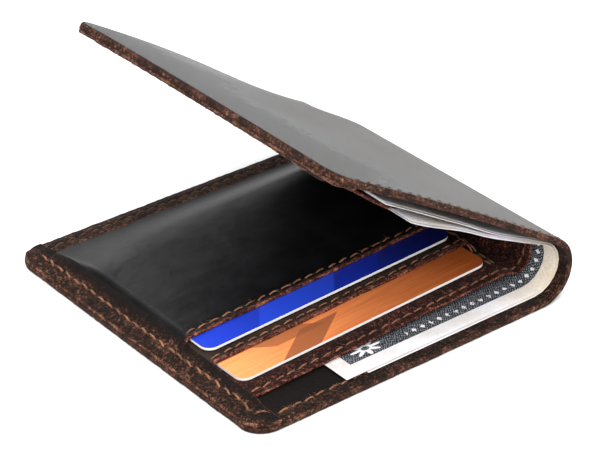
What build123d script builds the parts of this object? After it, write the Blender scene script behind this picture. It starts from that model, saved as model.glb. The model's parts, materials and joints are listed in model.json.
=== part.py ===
from build123d import *
from math import cos, radians, sin, tan
import os

# A bifold leather wallet, lying half open on its lower panel, with two cards and a wad of
# notes in it. Millimetres. The origin is the centre of the flat underside of the lower
# panel, +X runs from the free edge to the spine, +Y to the stitched back edge, +Z up.
# The leather bends in one smooth curve. Here the bend is short strips joined by hinges.

# Driving dimensions: the leather case
wallet_depth = 111.5            # along Y
panel_length = 99.0             # lower panel, from its free edge to where the bend starts
cover_length = 91.7             # cover, from where the bend ends to its free edge
corner_radius = 7.0
shell_thickness = 1.9
bend_radius = 10.8              # outside of the spine
cover_angle = 31.0              # cover above the table
closing_angle = 30.0            # how much further the wallet closes from this pose
strip_count = 3                 # strips that make up the bend, joined by one more hinge
strip_gap = 0.1                 # air at each end of a strip
layer_gap = 0.06                # air between two layers

# Card section
liner_thickness = 0.8
liner_inset = 12.5              # the liner stops this far from the open front edge
liner_edge_inset = 0.6          # and this far from the free edge
section_rise = 2.3              # degrees that the lower section rises towards the spine
section_peak_share = 0.96       # of the panel's length, where the section stops rising
section_length = 99.0           # pockets reach this far from the free edge
cover_rise = 3.2                # degrees that the cover's liner stands off the shell
cover_rise_from = 16.0          # from here to the free edge, along the cover
border_width = 8.0
border_thickness = 0.9
border_inset = 0.4
section_gap = 0.3               # between a border and the pocket beside it
groove_width = 1.0
groove_depth = 0.35
pocket_thickness = 0.7
middle_pocket_height = 1.95     # heights of the layers above the liner's underside
front_pocket_height = 3.8
middle_pocket_inset = 29.0      # pocket mouths, from the open front edge
front_pocket_inset = 40.5
cover_pocket_inset = 36.0

# Cards and notes
card_length = 85.6
card_width = 53.98
card_thickness = 0.76
card_radius = 3.18
card_x = 9.8                    # left end of both cards, from the free edge
lower_card_height = 1.1
lower_card_inset = 18.7
upper_card_height = 2.95
upper_card_inset = 33.3
note_length = 156.0
note_width = 66.3
note_stack = 0.95
note_lift = 0.25                # clear of the stitches under them
note_inset = 4.3
note_reach = 65.0               # how far the notes reach into the lower panel

# Stitches
stitch_pitch = 3.9
stitch_length = 3.1
stitch_width = 0.5
stitch_height = 0.18
edge_seam_inset = 4.6
mouth_seam_inset = 2.3
stitch_clearance = 0.01         # between a stitch and the layer it lies on
mouth_seam_ends = (1.0, 3.0)    # a mouth's seam stops this far from the pocket's sides
liner_seam_end = 5.0            # and the liner's from the section's spine end
end_seam_insets = (2.2, 0.8)    # the section's double end seam, from its spine end
end_seam_margin = 1.0           # and how far it stops from the pocket's edges

# Worked out from them
x_free = -panel_length / 2
x_bend = panel_length / 2
y_front = -wallet_depth / 2
y_back = wallet_depth / 2
hinge_radius = bend_radius - shell_thickness
bend_angle = 180.0 - cover_angle
hinge_count = strip_count + 1
hinge_step = bend_angle / hinge_count
closed_half_step = (bend_angle + closing_angle) / hinge_count / 2
half_strip = hinge_radius * tan(radians(hinge_step / 2))
liner_lift = note_lift + note_stack + layer_gap

os.makedirs("parts", exist_ok=True)


def save(piece, name):
    piece.part.label = name
    export_step(piece.part, f"parts/{name}.step")


def bend_plane(angle):
    """The shell's inner face where it has turned by angle. Z points into the wallet.

    X runs along the leather, from the lower panel's free edge to the cover's."""
    turn = radians(angle)
    return Plane(
        origin=(x_bend + hinge_radius * sin(turn), 0, bend_radius - hinge_radius * cos(turn)),
        x_dir=(cos(turn), 0, sin(turn)),
        z_dir=(-sin(turn), 0, cos(turn)),
    )


def plate(plane, x_span, y_span, thickness, radius=0.0, rounded=(0, -1)):
    """A flat sheet. rounded picks which ends along X have round corners."""
    with BuildPart() as sheet:
        with BuildSketch(plane) as outline:
            with Locations((sum(x_span) / 2, sum(y_span) / 2)):
                Rectangle(abs(x_span[1] - x_span[0]), abs(y_span[1] - y_span[0]))
            if radius > 0:
                ends = outline.vertices().group_by(Axis.X)
                fillet([corner for end in rounded for corner in ends[end]], radius)
        extrude(amount=thickness)
    return sheet


def bent_sheet(plane, line, thickness, y_span):
    """A sheet that follows line, points of (distance along plane's X, height over it).

    Its corner at the free edge and the back is round, as the shell's is."""
    side = Plane(
        origin=(plane.origin.X, y_span[1], plane.origin.Z), x_dir=plane.x_dir, z_dir=(0, -1, 0)
    )
    top = [(x, height + thickness) for x, height in reversed(line)]
    with BuildPart() as sheet:
        with BuildSketch(side):
            with BuildLine():
                Polyline(*line, *top, close=True)
            make_face()
        extrude(amount=y_span[1] - y_span[0])
        ends = sheet.edges().filter_by(Axis(plane.origin, plane.z_dir))
        fillet(ends.group_by(Axis.X)[0].sort_by(Axis.Y)[-1], corner_radius)
    return sheet


def end_of_layer(height):
    """How far past the bend's start a layer reaches that still clears when closed."""
    return half_strip - strip_gap - height * tan(radians(closed_half_step))


def bend_strip(index, lift, thickness, y_span):
    """Strip number index of the bend, its near face lift inside the shell's inner face."""
    half = end_of_layer(lift + max(thickness, 0.0))
    plane = bend_plane(hinge_step * index).offset(lift)
    return plate(plane, (-half, half), y_span, thickness)


def stitch_row(plane, start, end):
    """Stitches lying on plane in a straight row, as separate solids."""
    dx = end[0] - start[0]
    dy = end[1] - start[1]
    count = round(max(abs(dx), abs(dy)) / stitch_pitch)
    shares = [(i + 0.5) / count for i in range(count)]
    places = [(start[0] + dx * share, start[1] + dy * share) for share in shares]
    turn = 0 if abs(dx) > abs(dy) else 90
    with BuildPart() as row:
        with BuildSketch(plane.offset(stitch_clearance)):
            with Locations(*places):
                Rectangle(stitch_length, stitch_width, rotation=turn)
        extrude(amount=stitch_height)
    return row


def join_rows(*rows):
    """Several rows of stitches in one node."""
    with BuildPart() as seam:
        for row in rows:
            add(row.part)
    return seam


# Shell: the outer leather
full_depth = (y_front, y_back)
lower_inside = bend_plane(0.0)
cover_inside = bend_plane(bend_angle)
shell_end = end_of_layer(0.0)

shell_lower_panel = plate(
    lower_inside, (-panel_length, shell_end), full_depth, -shell_thickness, corner_radius, (0,)
)
save(shell_lower_panel, "shell_lower_panel")

for index in range(1, hinge_count):
    save(bend_strip(index, 0.0, -shell_thickness, full_depth), f"shell_spine_{index}")

shell_cover_panel = plate(
    cover_inside, (-shell_end, cover_length), full_depth, -shell_thickness, corner_radius, (-1,)
)
save(shell_cover_panel, "shell_cover_panel")

# Notes: a wad that lies between shell and liner, from the lower panel round to the cover
note_span = (y_front + note_inset, y_front + note_inset + note_width)
note_end = end_of_layer(note_lift + note_stack)
note_arc = radians(bend_angle) * (hinge_radius - note_lift - note_stack / 2)
note_reach_cover = note_length - note_reach - note_arc

notes_lower = plate(
    lower_inside.offset(note_lift), (-note_reach, note_end), note_span, note_stack
)
save(notes_lower, "notes_lower")

for index in range(1, hinge_count):
    save(bend_strip(index, note_lift, note_stack, note_span), f"notes_bend_{index}")

notes_cover = plate(
    cover_inside.offset(note_lift), (-note_end, note_reach_cover), note_span, note_stack
)
save(notes_cover, "notes_cover")

# Liner: the inner leather, which bulges over the notes and carries the pockets
liner_span = (y_front + liner_inset, y_back - liner_edge_inset)
liner_end = end_of_layer(liner_lift + liner_thickness)
section_start = panel_length - liner_edge_inset
peak_distance = panel_length * section_peak_share
section_peak = peak_distance * tan(radians(section_rise)) + layer_gap
cover_start = cover_length - liner_edge_inset
cover_peak = (cover_length - cover_rise_from) * tan(radians(cover_rise)) + layer_gap

lower_line = [
    (-section_start, layer_gap + liner_edge_inset * tan(radians(section_rise))),
    (peak_distance - panel_length, section_peak),
    (liner_end, liner_lift),
]
liner_lower = bent_sheet(lower_inside, lower_line, liner_thickness, liner_span)
save(liner_lower, "liner_lower")

for index in range(1, hinge_count):
    save(bend_strip(index, liner_lift, liner_thickness, liner_span), f"liner_spine_{index}")

cover_line = [
    (-liner_end, liner_lift),
    (cover_rise_from, cover_peak),
    (cover_start, layer_gap + liner_edge_inset * tan(radians(cover_rise))),
]
liner_cover = bent_sheet(cover_inside, cover_line, liner_thickness, liner_span)
save(liner_cover, "liner_cover")

# Pockets and borders, on planes that follow the liner. X starts at the free edge.
lower_section = Plane(
    origin=(x_free, 0, shell_thickness + layer_gap),
    x_dir=(cos(radians(section_rise)), 0, sin(radians(section_rise))),
    z_dir=(-sin(radians(section_rise)), 0, cos(radians(section_rise))),
)
cover_free_edge = cover_inside.origin + cover_inside.x_dir * cover_length
cover_section = Plane(
    origin=cover_free_edge + cover_inside.z_dir * layer_gap,
    x_dir=cover_inside.x_dir.rotate(Axis.Y, cover_rise),
    z_dir=cover_inside.z_dir.rotate(Axis.Y, cover_rise),
)
on_liner = liner_thickness + layer_gap
pocket_start = border_width + section_gap
pocket_back = y_back - border_width - section_gap
middle_mouth = y_front + middle_pocket_inset
front_mouth = y_front + front_pocket_inset
cover_mouth = y_front + cover_pocket_inset


def grooved_border(plane, x_span, y_span):
    """A strip of leather along X with a stitching groove down its middle."""
    with BuildPart() as strip:
        add(plate(plane, x_span, y_span, border_thickness).part)
        with BuildSketch(plane.offset(border_thickness)):
            with Locations((sum(x_span) / 2, sum(y_span) / 2)):
                Rectangle(abs(x_span[1] - x_span[0]), groove_width)
        extrude(amount=-groove_depth, mode=Mode.SUBTRACT)
    return strip


border_depth = (y_front + border_inset, y_back - border_inset)
border_radius = corner_radius - border_inset
border_free_edge = plate(
    lower_section.offset(on_liner),
    (border_inset, border_width),
    border_depth,
    border_thickness,
    border_radius,
    (0,),
)
save(border_free_edge, "border_free_edge")

back_span = (y_back - border_width, y_back - border_inset)
border_back_edge = grooved_border(
    lower_section.offset(on_liner), (pocket_start, section_length), back_span
)
save(border_back_edge, "border_back_edge")

pocket_middle = plate(
    lower_section.offset(middle_pocket_height),
    (pocket_start, section_length),
    (middle_mouth, pocket_back),
    pocket_thickness,
)
save(pocket_middle, "pocket_middle")

pocket_front = plate(
    lower_section.offset(front_pocket_height),
    (pocket_start, section_length),
    (front_mouth, pocket_back),
    pocket_thickness,
)
save(pocket_front, "pocket_front")

cover_border_free_edge = plate(
    cover_section.offset(on_liner),
    (-border_width, -border_inset),
    border_depth,
    border_thickness,
    border_radius,
    (-1,),
)
save(cover_border_free_edge, "cover_border_free_edge")

cover_section_length = cover_length - cover_rise_from
cover_border_back_edge = grooved_border(
    cover_section.offset(on_liner), (-cover_section_length, -pocket_start), back_span
)
save(cover_border_back_edge, "cover_border_back_edge")

cover_pocket = plate(
    cover_section.offset(on_liner),
    (-cover_section_length, -pocket_start),
    (cover_mouth, pocket_back),
    pocket_thickness,
)
save(cover_pocket, "cover_pocket")

# Cards, each in its own slot
card_span = (card_x, card_x + card_length)
card_orange = plate(
    lower_section.offset(lower_card_height),
    card_span,
    (y_front + lower_card_inset, y_front + lower_card_inset + card_width),
    card_thickness,
    card_radius,
)
save(card_orange, "card_orange")

card_blue = plate(
    lower_section.offset(upper_card_height),
    card_span,
    (y_front + upper_card_inset, y_front + upper_card_inset + card_width),
    card_thickness,
    card_radius,
)
save(card_blue, "card_blue")

# Seams: the thread that shows on top of each layer
y_front_seam = y_front + edge_seam_inset
y_back_seam = sum(back_span) / 2
on_border = lower_section.offset(on_liner + border_thickness)
on_cover_border = cover_section.offset(on_liner + border_thickness)
on_middle = lower_section.offset(middle_pocket_height + pocket_thickness)
on_front = lower_section.offset(front_pocket_height + pocket_thickness)
seam_ends = (y_front + border_width, y_back - border_width)
mouth_span = (pocket_start + mouth_seam_ends[0], section_length - mouth_seam_ends[1])

thread_free_edge = stitch_row(
    on_border, (edge_seam_inset, seam_ends[0]), (edge_seam_inset, seam_ends[1])
)
save(thread_free_edge, "thread_free_edge")

thread_back_edge = stitch_row(
    on_border.offset(-groove_depth), (pocket_start, y_back_seam), (section_length, y_back_seam)
)
save(thread_back_edge, "thread_back_edge")

thread_front_edge = stitch_row(
    lower_inside, (border_width - panel_length, y_front_seam), (0.0, y_front_seam)
)
save(thread_front_edge, "thread_front_edge")

liner_seam_y = y_front + liner_inset + mouth_seam_inset
thread_liner_edge = stitch_row(
    lower_section.offset(liner_thickness),
    (mouth_span[0], liner_seam_y),
    (section_length - liner_seam_end, liner_seam_y),
)
save(thread_liner_edge, "thread_liner_edge")

middle_seam_y = middle_mouth + mouth_seam_inset
thread_pocket_middle = stitch_row(
    on_middle, (mouth_span[0], middle_seam_y), (mouth_span[1], middle_seam_y)
)
save(thread_pocket_middle, "thread_pocket_middle")

front_seam_y = front_mouth + mouth_seam_inset
thread_pocket_front = stitch_row(
    on_front, (mouth_span[0], front_seam_y), (mouth_span[1], front_seam_y)
)
save(thread_pocket_front, "thread_pocket_front")

end_seam_y = (front_seam_y + end_seam_margin, pocket_back - end_seam_margin)
end_seam_x = [section_length - inset for inset in end_seam_insets]
end_rows = [stitch_row(on_front, (x, end_seam_y[0]), (x, end_seam_y[1])) for x in end_seam_x]
thread_section_end = join_rows(*end_rows)
save(thread_section_end, "thread_section_end")

thread_cover_free_edge = stitch_row(
    on_cover_border, (-edge_seam_inset, seam_ends[0]), (-edge_seam_inset, seam_ends[1])
)
save(thread_cover_free_edge, "thread_cover_free_edge")

thread_cover_back_edge = stitch_row(
    on_cover_border.offset(-groove_depth),
    (-cover_section_length, y_back_seam),
    (-pocket_start, y_back_seam),
)
save(thread_cover_back_edge, "thread_cover_back_edge")

cover_seam = ((0.0, y_front_seam), (cover_length - border_width, y_front_seam))
outer_face = cover_inside.offset(-shell_thickness - stitch_height - 2 * stitch_clearance)
thread_cover_front_edge = join_rows(
    stitch_row(cover_inside, *cover_seam), stitch_row(outer_face, *cover_seam)
)
save(thread_cover_front_edge, "thread_cover_front_edge")

cover_seam_y = cover_mouth + mouth_seam_inset
thread_cover_pocket = stitch_row(
    cover_section.offset(on_liner + pocket_thickness),
    (-cover_section_length + 2.0, cover_seam_y),
    (-mouth_span[0], cover_seam_y),
)
save(thread_cover_pocket, "thread_cover_pocket")
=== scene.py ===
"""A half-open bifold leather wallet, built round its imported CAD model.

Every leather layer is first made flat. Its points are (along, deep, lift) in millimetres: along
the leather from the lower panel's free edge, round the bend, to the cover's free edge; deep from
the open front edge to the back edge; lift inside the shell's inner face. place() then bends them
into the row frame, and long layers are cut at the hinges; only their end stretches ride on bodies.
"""

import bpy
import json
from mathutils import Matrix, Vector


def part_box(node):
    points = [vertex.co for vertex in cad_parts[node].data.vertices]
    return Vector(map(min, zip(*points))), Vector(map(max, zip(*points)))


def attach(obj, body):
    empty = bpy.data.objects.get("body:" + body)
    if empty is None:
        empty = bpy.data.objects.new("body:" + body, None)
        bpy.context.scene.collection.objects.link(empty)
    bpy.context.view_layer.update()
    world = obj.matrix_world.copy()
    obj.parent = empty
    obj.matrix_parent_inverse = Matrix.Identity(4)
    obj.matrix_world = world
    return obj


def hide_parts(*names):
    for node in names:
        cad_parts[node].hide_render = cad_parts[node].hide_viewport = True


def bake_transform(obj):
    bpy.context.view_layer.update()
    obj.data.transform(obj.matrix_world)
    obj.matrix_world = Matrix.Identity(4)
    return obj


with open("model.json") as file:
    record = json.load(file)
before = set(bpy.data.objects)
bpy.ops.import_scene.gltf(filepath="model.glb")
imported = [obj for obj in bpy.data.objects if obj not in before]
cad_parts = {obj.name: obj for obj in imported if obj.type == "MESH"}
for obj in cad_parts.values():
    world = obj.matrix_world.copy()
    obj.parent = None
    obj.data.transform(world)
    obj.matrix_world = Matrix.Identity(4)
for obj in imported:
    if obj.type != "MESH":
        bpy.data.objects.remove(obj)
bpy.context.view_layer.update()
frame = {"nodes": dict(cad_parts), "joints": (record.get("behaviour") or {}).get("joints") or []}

import json
from math import atan2, cos, pi, radians, sin, tan

import bpy
import numpy as np
from mathutils import Vector

MM = 0.001

# ---------------------------------------------------------------- sizes, in millimetres
HINGES = [np.array(joint["pos_m"]) / MM for joint in frame["joints"]
          if joint["name"].startswith("fold")]
LOW, HIGH = (np.array(corner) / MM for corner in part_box("shell_lower_panel"))
SHELL = HIGH[2] - LOW[2]                       # thickness of the shell
DEPTH = HIGH[1] - LOW[1]
FRONT_Y = LOW[1]
X_FREE = LOW[0]
STEP = atan2(HINGES[1][2] - HINGES[0][2], HINGES[1][0] - HINGES[0][0])
HALF_STRIP = np.linalg.norm(HINGES[1] - HINGES[0]) / 2
R_IN = HALF_STRIP / tan(STEP / 2)
R_OUT = R_IN + SHELL
X_BEND = HINGES[0][0] - HALF_STRIP
PANEL = X_BEND - X_FREE
BEND = STEP * len(HINGES)
ARC = R_IN * BEND
COVER = 91.7
COVER_START = PANEL + ARC
TOTAL = COVER_START + COVER
CUTS = [PANEL + R_IN * STEP * i for i in range(len(HINGES) + 1)]
CORNER = 7.0

GAP = 0.06
LINER = 0.8
LINER_FRONT = 12.5
SECTION_SLOPE = tan(radians(2.3))
SECTION_PEAK = 95.6                            # the card section rises up to here
COVER_SLOPE = tan(radians(3.2))
COVER_RISE = 16.0
PINCH = 3.0                                    # the back of the bend, squeezed flatter
BEND_LIFT = 1.26                               # the liner's lift round the bend, over the notes
BORDER = 8.0
FREE_BORDER, BACK_BORDER = 1.05, 0.9           # thicknesses of the two borders
POCKET = 0.7
MIDDLE_MOUTH, FRONT_MOUTH, COVER_MOUTH = 29.0, 40.5, 36.0
MIDDLE_LIFT, FRONT_LIFT = 1.95, 3.8
SEAM_IN, MOUTH_SEAM = 4.6, 2.3
OUTSIDE_SEAM = 1.9
PITCH, STITCH = 3.9, 3.5
NOTE_START, NOTE_LENGTH, NOTE_WIDTH, NOTE_FRONT = 34.0, 156.0, 66.3, 4.3


# ---------------------------------------------------------------- flat layers
def smooth(x, low, high):
    """0 below low, 1 above high, and an S-curve between."""
    t = np.clip((np.asarray(x, float) - low) / (high - low), 0, 1)
    return t * t * (3 - 2 * t)


def noise(x, y, size, seed):
    """Smooth random heights from -1 to 1, with hills about size across."""
    lattice = np.random.default_rng(seed).uniform(-1, 1, (64, 64))
    x, y = np.broadcast_arrays(np.asarray(x, float) / size, np.asarray(y, float) / size)
    i, j = np.floor(x).astype(int), np.floor(y).astype(int)
    fx, fy = x - i, y - j
    fx, fy = fx * fx * (3 - 2 * fx), fy * fy * (3 - 2 * fy)

    def at(a, b):
        return lattice[a % 64, b % 64]
    near = at(i, j) * (1 - fx) + at(i + 1, j) * fx
    far = at(i, j + 1) * (1 - fx) + at(i + 1, j + 1) * fx
    return near * (1 - fy) + far * fy


def cover_bow(along, deep):
    """How far the cover bows outwards. With no notes in it, the back of the bend is pinched."""
    t = np.clip((along - COVER_START) / COVER, 0, 1)
    back = smooth(deep, 84, DEPTH)
    pinch = PINCH * np.exp(-((along - COVER_START - 14) / 36) ** 2) * smooth(along, PANEL, COVER_START)
    return 0.7 * np.sin(pi * t) - pinch * back + 0.35 * noise(along, deep, 34, 5) * t


def far_corner(along, deep):
    """How much of the stretch that the cover's far back corner has got."""
    return np.clip((along - COVER_START) / COVER, 0, 1) ** 3 * np.clip(deep / DEPTH, 0, 1) ** 9


def place(flat):
    """Flat points (along, deep, lift) as points in the row frame, still in millimetres."""
    along, deep, lift = np.asarray(flat, float).T
    turn = np.clip((along - PANEL) / R_IN, 0, BEND)
    stretch = far_corner(along, deep)
    past = along - PANEL - turn * R_IN + 3.0 * stretch
    inwards = lift - cover_bow(along, deep)
    return np.stack([
        X_BEND + R_IN * np.sin(turn) + past * np.cos(turn) - inwards * np.sin(turn),
        FRONT_Y + deep + 1.5 * stretch,
        R_OUT - R_IN * np.cos(turn) + past * np.sin(turn) + inwards * np.cos(turn),
    ], axis=1)


def grid_faces(rows, columns, first=0):
    i, j = np.meshgrid(np.arange(rows - 1), np.arange(columns - 1), indexing="ij")
    a = first + i * columns + j
    return np.stack([a, a + columns, a + columns + 1, a + 1], -1).reshape(-1, 4)


def spaced(low, high, cell, through=()):
    """Even steps of about cell from low to high that also pass through some values."""
    stops = [low] + sorted(x for x in through if low < x < high) + [high]
    parts = [np.linspace(a, b, max(2, int(round((b - a) / cell)) + 1))[:-1]
             for a, b in zip(stops, stops[1:])]
    return np.concatenate(parts + [[high]])


def slab(along, deep, thick, under, swell=None, corners=(0, 0, 0, 0), cell=1.3, edge=None,
         ragged=0.0, seed=0, rounds=(1.0, 1.0)):
    """A closed sheet with rounded edges: (flat points, faces, side of each face, edge flag).

    under(along, deep) is the lift of its underside, swell what its top adds to thick. corners
    are the radii at (near, front), (far, front), (far, back), (near, back). rounds says how
    much of its edge radius the sheet has above and below. A face's side is 0 on top, 1 on the
    edge and 2 underneath."""
    e = thick * 0.42 if edge is None else edge
    a0, a1, d0, d1 = along[0] + e, along[1] - e, deep[0] + e, deep[1] - e
    radius = [max(r - e, 0.05) for r in corners]
    near, far = max(radius[0], radius[3]), max(radius[1], radius[2])
    turn = np.linspace(0, pi / 2, 9 if max(corners) > 1 else 2)
    start, end = a0 + near * (1 - np.cos(turn)), a1 - far * (1 - np.cos(turn[::-1]))
    rows = np.concatenate([start[:-1], spaced(start[-1], end[0], cell, CUTS), end[1:]])

    def inset(r, distance):
        short = np.clip(r - distance, 0, r)
        return r - np.sqrt(r * r - short * short)
    low = d0 + inset(radius[0], rows - a0) + inset(radius[1], a1 - rows)
    high = d1 - inset(radius[3], rows - a0) - inset(radius[2], a1 - rows)
    share = np.linspace(0, 1, max(3, int((d1 - d0) / cell) + 1))
    s = np.repeat(rows[:, None], len(share), 1)
    v = low[:, None] + (high - low)[:, None] * share
    n_rows, n_cols = s.shape
    s, v = s.ravel(), v.ravel()

    index = np.arange(n_rows * n_cols).reshape(n_rows, n_cols)
    loop = np.concatenate([index[:, 0], index[-1, 1:], index[-2::-1, -1], index[0, -2:0:-1]])
    ls, lv = s[loop], v[loop]
    ts, tv = np.roll(ls, -1) - np.roll(ls, 1), np.roll(lv, -1) - np.roll(lv, 1)
    length = np.maximum(np.hypot(ts, tv), 1e-9)
    ns, nv = tv / length, -ts / length
    walk = np.cumsum(np.hypot(np.diff(ls, append=ls[0]), np.diff(lv, append=lv[0])))

    def top_of(a, d):
        return under(a, d) + thick + (swell(a, d) if swell else 0.0)
    points = [np.stack([s, v, top_of(s, v)], 1), np.stack([s, v, under(s, v)], 1)]
    bends = [(sin(x), 1 - cos(x)) for x in (pi / 6, pi / 3, pi / 2)]
    profile = [(out, drop, True) for out, drop in bends]
    profile += [(1.0, drop, False) for drop in (1.0,)]
    profile += [(out, drop, False) for out, drop in reversed(bends[:2])]
    for k, (out, drop, upper) in enumerate(profile):
        shake = ragged * (noise(walk, 7.0 * k, 0.9, seed + 3) + 0.7 * noise(walk, 0, 4.0, seed + 4))
        rs, rv = ls + ns * (e * out + shake), lv + nv * (e * out + shake)
        base, top = under(ls, lv), top_of(ls, lv)
        height = top - e * rounds[0] * drop if upper else base + e * rounds[1] * drop
        points.append(np.stack([rs, rv, height], 1))

    count, ring = n_rows * n_cols, len(loop)
    upper_faces = grid_faces(n_rows, n_cols)
    lower_faces = grid_faces(n_rows, n_cols, count)[:, ::-1]
    rings = [loop] + [2 * count + k * ring + np.arange(ring) for k in range(len(profile))]
    rings.append(count + loop)
    walls = [np.stack([a, b, np.roll(b, -1), np.roll(a, -1)], 1) for a, b in zip(rings, rings[1:])]
    faces = np.concatenate([upper_faces] + walls + [lower_faces])
    side = np.concatenate([np.zeros(len(upper_faces), int), np.ones(len(walls) * ring, int),
                           np.full(len(lower_faces), 2)])
    flat = np.concatenate(points)
    rim = np.concatenate([np.zeros(2 * count), np.ones(ring * len(profile))])
    return flat, faces, side, rim


def tubes(roots, directions, lengths, radii, lobes=0, twist=0.0, arch=0.0, sink=0.0, up=1,
          rings=9, sides=8, droop=0.0, flatten=0.85):
    """Many short closed tubes as one flat mesh: stitches, or loose fibres.

    directions are unit vectors, arch lifts a tube's middle and sink drops its two ends."""
    roots, directions = np.asarray(roots, float), np.asarray(directions, float)
    lengths, radii = np.asarray(lengths, float), np.asarray(radii, float)
    t = np.linspace(0, 1, rings)
    angle = np.linspace(0, 2 * pi, sides, endpoint=False)
    upward = np.array([0, 0, float(up)])
    across = np.cross(directions, upward)
    across /= np.maximum(np.linalg.norm(across, axis=1), 1e-6)[:, None]
    third = np.cross(across, directions)
    body = np.maximum(np.sin(pi * t), 0.0) ** 0.45
    thickness = 0.45 + 0.55 * body if not droop else 1.0 - 0.8 * t
    lobe = 1 + (0.17 * np.cos(lobes * angle[None, :] + twist * t[:, None]) if lobes else 0)
    radius = radii[:, None, None] * thickness[None, :, None] * lobe
    centre = roots[:, None, :] + directions[:, None, :] * (t[None, :, None] - (0 if droop else 0.5)) \
        * lengths[:, None, None]
    centre = centre + upward * ((arch + sink) * body - sink - droop * t * t)[None, :, None]
    points = (centre[:, :, None, :]
              + across[:, None, None, :] * (radius * np.cos(angle))[..., None]
              + third[:, None, None, :] * (radius * np.sin(angle))[..., None] * flatten)
    count = len(roots)
    i, k, m = np.meshgrid(np.arange(count), np.arange(rings - 1), np.arange(sides), indexing="ij")
    a = (i * rings + k) * sides
    quads = np.stack([a + m, a + (m + 1) % sides, a + sides + (m + 1) % sides, a + sides + m], -1)
    first = (np.arange(count) * rings * sides)[:, None]
    ring = np.arange(sides)
    caps = [(first + ring[::-1]), (first + (rings - 1) * sides + ring)]
    faces = quads.reshape(-1, 4).tolist() + np.concatenate(caps).tolist()
    if up < 0:
        faces = [face[::-1] for face in faces]
    return points.reshape(-1, 3), faces


def joined(*parts):
    """Several (points, faces) meshes as one."""
    points, faces, start = [], [], 0
    for p, f in parts:
        points.append(p)
        faces += [[i + start for i in face] for face in f]
        start += len(p)
    return np.concatenate(points), faces


# ---------------------------------------------------------------- making Blender objects
def make_mesh(name, flat, faces, sides, materials, tone, normals=None):
    mesh = bpy.data.meshes.new(name)
    mesh.from_pydata((place(flat) * MM).tolist(), [], [list(map(int, f)) for f in faces])
    for material in materials:
        mesh.materials.append(material)
    mesh.polygons.foreach_set("material_index", np.minimum(sides, len(materials) - 1))
    mesh.polygons.foreach_set("use_smooth", np.ones(len(mesh.polygons), bool))
    spot = mesh.attributes.new("flat", "FLOAT_VECTOR", "POINT")
    spot.data.foreach_set("vector", np.asarray(flat, np.float32).ravel())
    shade = mesh.attributes.new("tone", "FLOAT", "POINT")
    shade.data.foreach_set("value", np.broadcast_to(tone, len(flat)).astype(np.float32))
    mesh.update()
    if normals is not None:
        mesh.normals_split_custom_set_from_vertices(normals.tolist())
    piece = bpy.data.objects.new(name, mesh)
    bpy.context.scene.collection.objects.link(piece)
    return piece


def finish_piece(piece, replaced=()):
    if replaced:
        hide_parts(*replaced)
    return piece


def add_piece(name, flat, faces, sides, materials, body="root", tone=0.5, replaced=()):
    piece = make_mesh(name, flat, faces, sides, materials, tone)
    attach(piece, body)
    return finish_piece(piece, replaced)


def add_bent(names, flat, faces, sides, materials, bodies, tone=0.5, replaced=None):
    """A long piece, cut at the hinges: names says what each stretch is, bodies what the end stretches
    ride on; the stretches between ride on no body.

    names(i) names stretch i: 0 is the lower panel's, 1 to 6 the bend's, 7 the cover's."""
    faces = [list(map(int, f)) for f in faces]
    whole = make_mesh("whole", flat, faces, sides, materials, tone)
    normals = np.zeros(len(flat) * 3)
    whole.data.vertex_normals.foreach_get("vector", normals)
    normals = normals.reshape(-1, 3)
    bpy.data.objects.remove(whole)
    middle = np.array([flat[f, 0].mean() for f in faces])
    stretch = np.searchsorted(CUTS, middle)
    tones = np.broadcast_to(tone, len(flat))
    for i in range(len(CUTS) + 1):
        mine = np.flatnonzero(stretch == i)
        if not len(mine):
            continue
        used = np.unique(np.concatenate([faces[k] for k in mine]))
        new = np.zeros(len(flat), int)
        new[used] = np.arange(len(used))
        piece = make_mesh(names(i), flat[used], [new[faces[k]].tolist() for k in mine],
                          np.asarray(sides)[mine], materials, tones[used], normals[used])
        if i == 0 or i == len(CUTS):
            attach(piece, bodies[0] if i == 0 else bodies[-1])
        else:
            start, end = (place([[x, DEPTH / 2, 0.0]])[0] * MM for x in (CUTS[i - 1], CUTS[i]))
            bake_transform(piece)
        finish_piece(piece, (replaced or {}).get(i, ()))


# ---------------------------------------------------------------- materials
def node(tree, kind, values=None, **settings):
    new = tree.nodes.new("ShaderNode" + kind)
    for key, value in settings.items():
        setattr(new, key, value)
    for socket, value in (values or {}).items():
        if isinstance(value, bpy.types.NodeSocket):
            tree.links.new(value, new.inputs[socket])
        else:
            new.inputs[socket].default_value = value
    return new


def material(name, **constants):
    made = bpy.data.materials.new(name)
    made.use_nodes = True
    shader = made.node_tree.nodes["Principled BSDF"]
    for socket, value in constants.items():
        shader.inputs[socket.replace("_", " ")].default_value = value
    return made, made.node_tree, shader


def hex_colour(text):
    """A colour written as in a paint program, as the linear light that a shader wants."""
    parts = [int(text[i:i + 2], 16) / 255 for i in (0, 2, 4)]
    return tuple(p / 12.92 if p <= 0.04045 else ((p + 0.055) / 1.055) ** 2.4 for p in parts) + (1,)


def ramp(tree, factor, *stops):
    made = node(tree, "ValToRGB", {0: factor})
    points = made.color_ramp.elements
    while len(points) < len(stops):
        points.new(0.5)
    for point, (at, colour) in zip(points, stops):
        point.position, point.color = at, hex_colour(colour)
    return made.outputs[0]


def flat_spot(tree, stretch=(1, 1, 1), turn=0.0):
    """The place on the flat leather, in millimetres, so that a texture runs on round the bend."""
    spot = node(tree, "Attribute", attribute_name="flat").outputs["Vector"]
    if stretch == (1, 1, 1) and not turn:
        return spot
    return node(tree, "Mapping", {"Vector": spot, "Scale": stretch, "Rotation": (0, 0, turn)}).outputs[0]


def speckle(tree, spot, scale, detail=4.0, rough=0.6, distortion=0.0):
    return node(tree, "TexNoise", {"Vector": spot, "Scale": scale, "Detail": detail,
                                   "Roughness": rough, "Distortion": distortion}).outputs["Fac"]


def maths(tree, operation, a, b=0.0, c=0.0):
    return node(tree, "Math", {0: a, 1: b, 2: c}, operation=operation).outputs[0]


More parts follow.
